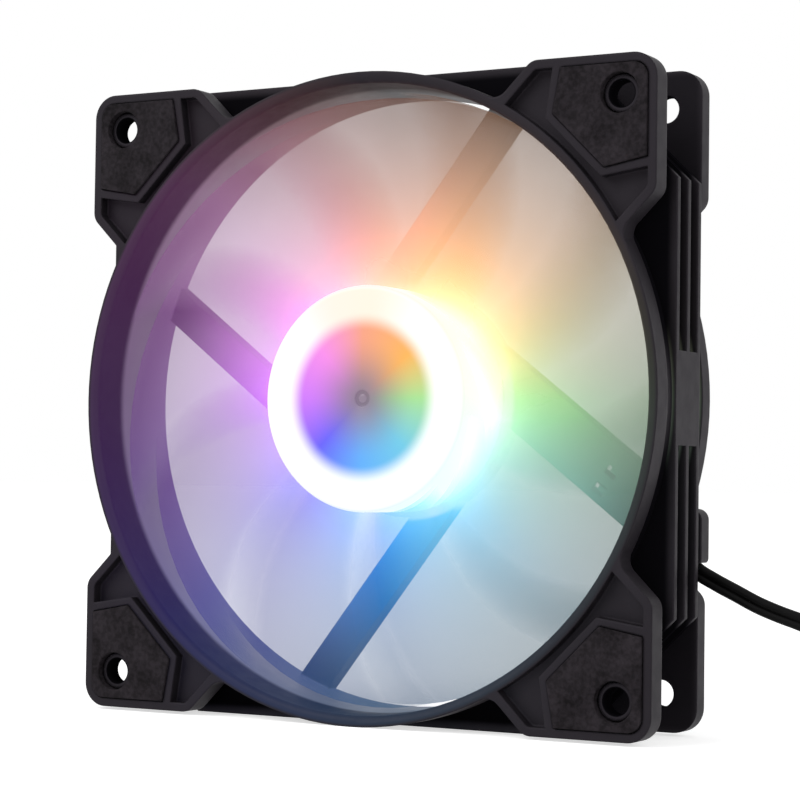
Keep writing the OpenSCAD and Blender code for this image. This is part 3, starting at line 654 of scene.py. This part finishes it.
def makeImpeller(shape):
    vertices, faces = hubMesh(shape)
    kinds = [0] * len(faces)
    depths = [1] * len(vertices)
    bladeVertices, bladeFaces, bladeDepths = bladeMesh(shape)
    for k in range(shape["blades"]):
        start = len(vertices)
        angle = math.tau * k / shape["blades"]
        vertices += [(x * math.cos(angle) - y * math.sin(angle), x * math.sin(angle) + y * math.cos(angle), z)
                     for x, y, z in bladeVertices]
        faces += [tuple(start + i for i in face) for face in bladeFaces]
        kinds += [1] * len(bladeFaces)
        depths += bladeDepths
    materials = [hubMaterial(hubLook), bladeMaterial(bladeLook)]
    made = meshObject("impellerLit", [fanPoint(*v) for v in vertices], faces, materials)
    made.data.polygons.foreach_set("material_index", kinds)
    made.data.attributes.new("plasticDepth", "FLOAT", "POINT").data.foreach_set("value", depths)
    made.data.set_sharp_from_angle(angle=math.radians(shape["sharpAngle"]))
    return made


impeller = makeImpeller(impellerShape)
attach(impeller, "rotor")
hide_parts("impeller")
print("impeller made")


# frame: charcoal plastic, with the lamps' light on the struts and on the wall of the bore

frameLook = {
    "dark": 0.0095,
    "pale": 0.0125,
    "tint": (1, 0.86, 1.06),
    "cloud": 16 * mm,
    "roughness": (0.52, 0.06),
    "roughCloud": 3 * mm,
    "shine": 0.2,
    "shineTint": (0.95, 0.85, 1, 1),
    "grain": (0.35 * mm, 0.02 * mm, 0.6 * mm),
    # the struts' light: where they start along Y and end at the bore, and how far they face the front
    "strutDepth": (7.8 * mm, 8.4 * mm),
    "strutEnd": (57 * mm, 58 * mm),
    "strutFacing": (-1, 0.6),
    "strutGlow": 1.25,
    "strutReach": (32 * mm, 56 * mm),
    "warmGlow": 0.6,  # the warm lamps give white light too
    "warmPower": 3,
    "warmReach": (36 * mm, 68 * mm),
    "rimGlow": 0.8,  # the edge of the motor base, behind the hub
    "rimRadius": (22 * mm, 23 * mm),
    "rimFacing": (-0.6, -0.2),
    # the wall of the bore, as far as its front lip
    "wallRadius": (57.4 * mm, 57.7 * mm),
    "lipRadius": (59.2 * mm, 60 * mm),
    "wallFacing": (0.2, 0.6),
    "lipFacing": (0.3, 0.7),
    "wallGlow": 0.41,
    "sweptDepth": (-4.8 * mm, -2.6 * mm),  # beside the blades, it has more of the light, and a pale part
    "sweptGlow": 0.54,
    "sweptPale": 0.31,
    "leastPale": 0.08,
    "spill": 0.025,  # some of the light falls on the ears
    "spillStart": (59 * mm, 60 * mm),
    "spillReach": (60 * mm, 76 * mm),
    "spillFacing": (0.2, 0.8),
    # painted shade in the gaps between the ribs: its colour, how deep the gaps are, and from where to where along Y
    "gapShadeColour": (0.0055, 0.005, 0.0065, 1),
    "gapDepth": (58 * mm, 59.6 * mm),
    "gapRadius": (58.8 * mm, 59.2 * mm),
    "gapFront": (-7.4 * mm, -6.8 * mm),
    "gapRear": (8.3 * mm, 8.9 * mm),
    # painted shade inside the screw holes: where they sit and how wide
    "holePlace": 52.5 * mm,
    "holeRadius": (2.5 * mm, 2.7 * mm),
}


def frameGlow(pen, look):
    turn, radius = roundAxis(pen)
    _, depth, _ = surfaceParts(pen, "Position")
    toRight, toRear, upward = surfaceParts(pen, "Normal")
    angle = turn * math.tau
    forward = -toRear
    inward = -(toRight * pen.math("COSINE", angle) + upward * pen.math("SINE", angle))
    colour = lampColour(pen, turn)
    tips = colour.out("Alpha")
    strut = depth.step(*look["strutDepth"]) * (1 - radius.step(*look["strutEnd"]))
    rim = strut * (1 - radius.step(*look["rimRadius"])) * forward.step(*look["rimFacing"])
    strut = strut * forward.step(*look["strutFacing"])
    near, far = (strut * (1 - radius.step(*look[name])) for name in ("strutReach", "warmReach"))
    red = pen.add("SeparateColor", None, {0: colour})
    warm = pen.math("POWER", red, look["warmPower"]) * far * look["warmGlow"]
    wall = radius.step(*look["wallRadius"]) * (1 - radius.step(*look["lipRadius"]))
    wall = wall * pen.math("MAXIMUM", inward.step(*look["wallFacing"]), forward.step(*look["lipFacing"]))
    swept = wall * depth.step(*look["sweptDepth"])
    spill = radius.step(*look["spillStart"]) * (1 - radius.step(*look["spillReach"]))
    spill = spill * forward.step(*look["spillFacing"])
    lit = wall * look["wallGlow"] + swept * look["sweptGlow"] + spill * look["spill"]
    pale = swept * look["sweptPale"] * (look["leastPale"] + tips)
    glow = colour.dim(near * look["strutGlow"] + tips * lit).plus((warm + pale).blend(rgb(0), rgb(1)))
    return rim.blend(glow, rgb(look["rimGlow"]))


# painted shade where no lamp shines: the gaps between the ribs, and the screw holes
def frameShadeMask(pen, look):
    _, radius = roundAxis(pen)
    across, depth, height = surfaceParts(pen, "Position")
    across, up = (pen.math("ABSOLUTE", value) for value in (across, height - axisHeight))
    gap = 1 - pen.math("MAXIMUM", across, up).step(*look["gapDepth"])
    gap = gap * depth.step(*look["gapFront"]) * (1 - depth.step(*look["gapRear"])) * radius.step(*look["gapRadius"])
    hole = (across - look["holePlace"]).reach(up - look["holePlace"]).step(*look["holeRadius"])
    return pen.math("MAXIMUM", gap, 1 - hole)


def frameMaterial(look):
    material, pen = startMaterial("frameCharcoal")
    cloud = mottle(pen, look["cloud"], 4)
    plastic = pen.add("BsdfPrincipled", None, {
        "Base Color": cloud.blend(rgb(look["dark"], look["tint"]), rgb(look["pale"], look["tint"])),
        "Roughness": varied(*look["roughness"], mottle(pen, look["roughCloud"])),
        "Specular IOR Level": look["shine"],
        "Specular Tint": look["shineTint"],
        "Emission Color": frameGlow(pen, look),
        "Emission Strength": 1,
        "Normal": grainNormal(pen, *look["grain"]),
    })
    # painted shade: a dark diffuse sheet that takes over in the gaps and holes
    dark = pen.add("BsdfDiffuse", None, {"Color": look["gapShadeColour"]})
    shader = pen.add("MixShader", None, {0: frameShadeMask(pen, look), 1: plastic, 2: dark})
    pen.add("OutputMaterial", None, {"Surface": shader})
    return material


padLook = {
    "dark": (0.0025, 0.0016, 0.0022, 1),
    "pale": (0.033, 0.0275, 0.0325, 1),
    "fleck": 0.8 * mm,
    "fleckPart": 0.55,
    "cloud": 6 * mm,
    "cloudPart": 0.45,
    "roughness": (0.78, 0.14),
    "shine": 0.12,
    "grain": (0.5 * mm, 0.06 * mm, 0.3 * mm),
}


def padMaterial(look):
    material, pen = startMaterial("padRubber")
    fleck = mottle(pen, look["fleck"], 5)
    cloud = mottle(pen, look["cloud"], 3)
    mask = fleck * look["fleckPart"] + cloud * look["cloudPart"]
    return endMaterial(material, pen, {
        "Base Color": mask.blend(look["dark"], look["pale"]),
        "Roughness": varied(*look["roughness"], fleck),
        "Specular IOR Level": look["shine"],
        "Normal": grainNormal(pen, *look["grain"]),
    })


# the finishes of the pieces inside the hub and of the plug: colours, roughness, metal, grain in mm
partLook = {
    "brass": ((0.42, 0.25, 0.07), (0.52, 0.34, 0.11), 0.3, 1, 0.3),
    "bronze": ((0.24, 0.12, 0.04), (0.36, 0.18, 0.06), 0.5, 1, 0.2),
    "nylon": ((0.70, 0.66, 0.56), (0.80, 0.76, 0.66), 0.4, 0, 0.5),
    "lamination": ((0.22, 0.23, 0.24), (0.32, 0.33, 0.34), 0.38, 1, 0.35),
    "insulator_plastic": ((0.72, 0.70, 0.65), (0.80, 0.78, 0.73), 0.5, 0, 0.5),
    "copper_wire": ((0.36, 0.09, 0.025), (0.52, 0.15, 0.04), 0.35, 1, 0.25),
    "board": ((0.78, 0.76, 0.70), (0.86, 0.84, 0.78), 0.55, 0, 0.4),
    "chip_black": ((0.010, 0.010, 0.011), (0.018, 0.018, 0.019), 0.5, 0, 0.2),
    "passive": ((0.46, 0.34, 0.18), (0.62, 0.48, 0.28), 0.45, 0, 0.2),
    "lamp": ((0.86, 0.80, 0.62), (0.95, 0.90, 0.74), 0.3, 0, 0.3),
    "yoke_steel": ((0.16, 0.17, 0.18), (0.22, 0.23, 0.24), 0.35, 1, 0.4),
    "magnet": ((0.036, 0.033, 0.031), (0.055, 0.050, 0.047), 0.6, 0, 0.3),
    "shaft_steel": ((0.56, 0.58, 0.61), (0.64, 0.66, 0.69), 0.16, 1, 0.3),
    "plug_plastic": ((0.007, 0.007, 0.008), (0.013, 0.013, 0.014), 0.42, 0, 0.3),
    "contact_tin": ((0.56, 0.46, 0.22), (0.68, 0.57, 0.30), 0.28, 1, 0.2),
}

partGrain = {
    "cloudSize": 4,  # in grains
    "roughSpread": 0.12,
    "depth": 0.01 * mm,
    "softEdge": 0.12 * mm,
}


def partMaterial(slot, look, fine):
    dark, pale, roughness, metal, grain = look
    material, pen = startMaterial("part_" + slot)
    cloud = mottle(pen, fine["cloudSize"] * grain * mm, 4)
    return endMaterial(material, pen, {
        "Base Color": cloud.blend((*dark, 1), (*pale, 1)),
        "Roughness": varied(roughness, fine["roughSpread"], cloud),
        "Metallic": metal,
        "Normal": grainNormal(pen, grain * mm, fine["depth"], fine["softEdge"]),
    })


finishes = {slot: partMaterial(slot, look, partGrain) for slot, look in partLook.items()}
finishes["frame_plastic"] = frameMaterial(frameLook)
finishes["pad_rubber"] = padMaterial(padLook)
for part in frame["record"]["subparts"]:
    node = nodes[part["node"]]
    if part["material_slot"] in finishes:
        node.data.materials.clear()
        node.data.materials.append(finishes[part["material_slot"]])
print("finishes set")


# stage: a white floor and world, a large soft lamp from the upper left and a weaker one on the right

stageLook = {
    "floorSize": 60,
    "floorColour": 0.8,
    "floorLift": 0.63,  # makes the floor white to the eye
    "worldLevel": 0.5,
    # name, place, size, power
    "lamps": (
        ("keyLamp", (-0.9, -1.3, 1.5), 1.4, 20),
        ("sideLamp", (1.5, -0.5, 0.9), 1.0, 7.5),
    ),
}


# 1 where the eye, a reflection or glass sees a surface, 0 where it only lights others
def seenMask(pen):
    ray = pen.add("LightPath")
    mirrored = pen.math("MAXIMUM", ray.out("Is Glossy Ray"), ray.out("Is Transmission Ray"))
    return pen.math("MAXIMUM", ray.out("Is Camera Ray"), mirrored)


def makeFloor(look):
    half = look["floorSize"] / 2
    corners = [(-half, -half, 0), (half, -half, 0), (half, half, 0), (-half, half, 0)]
    material, pen = startMaterial("floorWhite")
    diffuse = pen.add("BsdfDiffuse", None, {"Color": rgb(look["floorColour"])})
    lift = pen.add("Emission", None, {"Color": rgb(1), "Strength": look["floorLift"]})
    both = pen.add("AddShader", None, {0: diffuse, 1: lift})
    shader = pen.add("MixShader", None, {0: seenMask(pen), 1: diffuse, 2: both})
    pen.add("OutputMaterial", None, {"Surface": shader})
    return meshObject("floor", corners, [(0, 1, 2, 3)], [material], smooth=False)


def makeWorld(look):
    world = bpy.data.worlds.new("studio")
    bpy.context.scene.world = world
    world.use_nodes = True
    world.node_tree.nodes.clear()
    pen = Wire(world.node_tree)
    level = varied(look["worldLevel"], 1 - look["worldLevel"], seenMask(pen))
    background = pen.add("Background", None, {"Color": rgb(1), "Strength": level})
    pen.add("OutputWorld", None, {"Surface": background})


def placeLamps(look):
    for name, place, size, power in look["lamps"]:
        lamp = bpy.data.objects.new(name, bpy.data.lights.new(name, "AREA"))
        bpy.context.scene.collection.objects.link(lamp)
        lamp.data.size = size
        lamp.data.energy = power
        lamp.location = place
        aim = Vector((0, 0, axisHeight)) - lamp.location
        lamp.rotation_euler = aim.to_track_quat("-Z", "Y").to_euler()


makeFloor(stageLook)
makeWorld(stageLook)
placeLamps(stageLook)
bpy.context.scene.view_settings.view_transform = "Standard"
print("stage made")
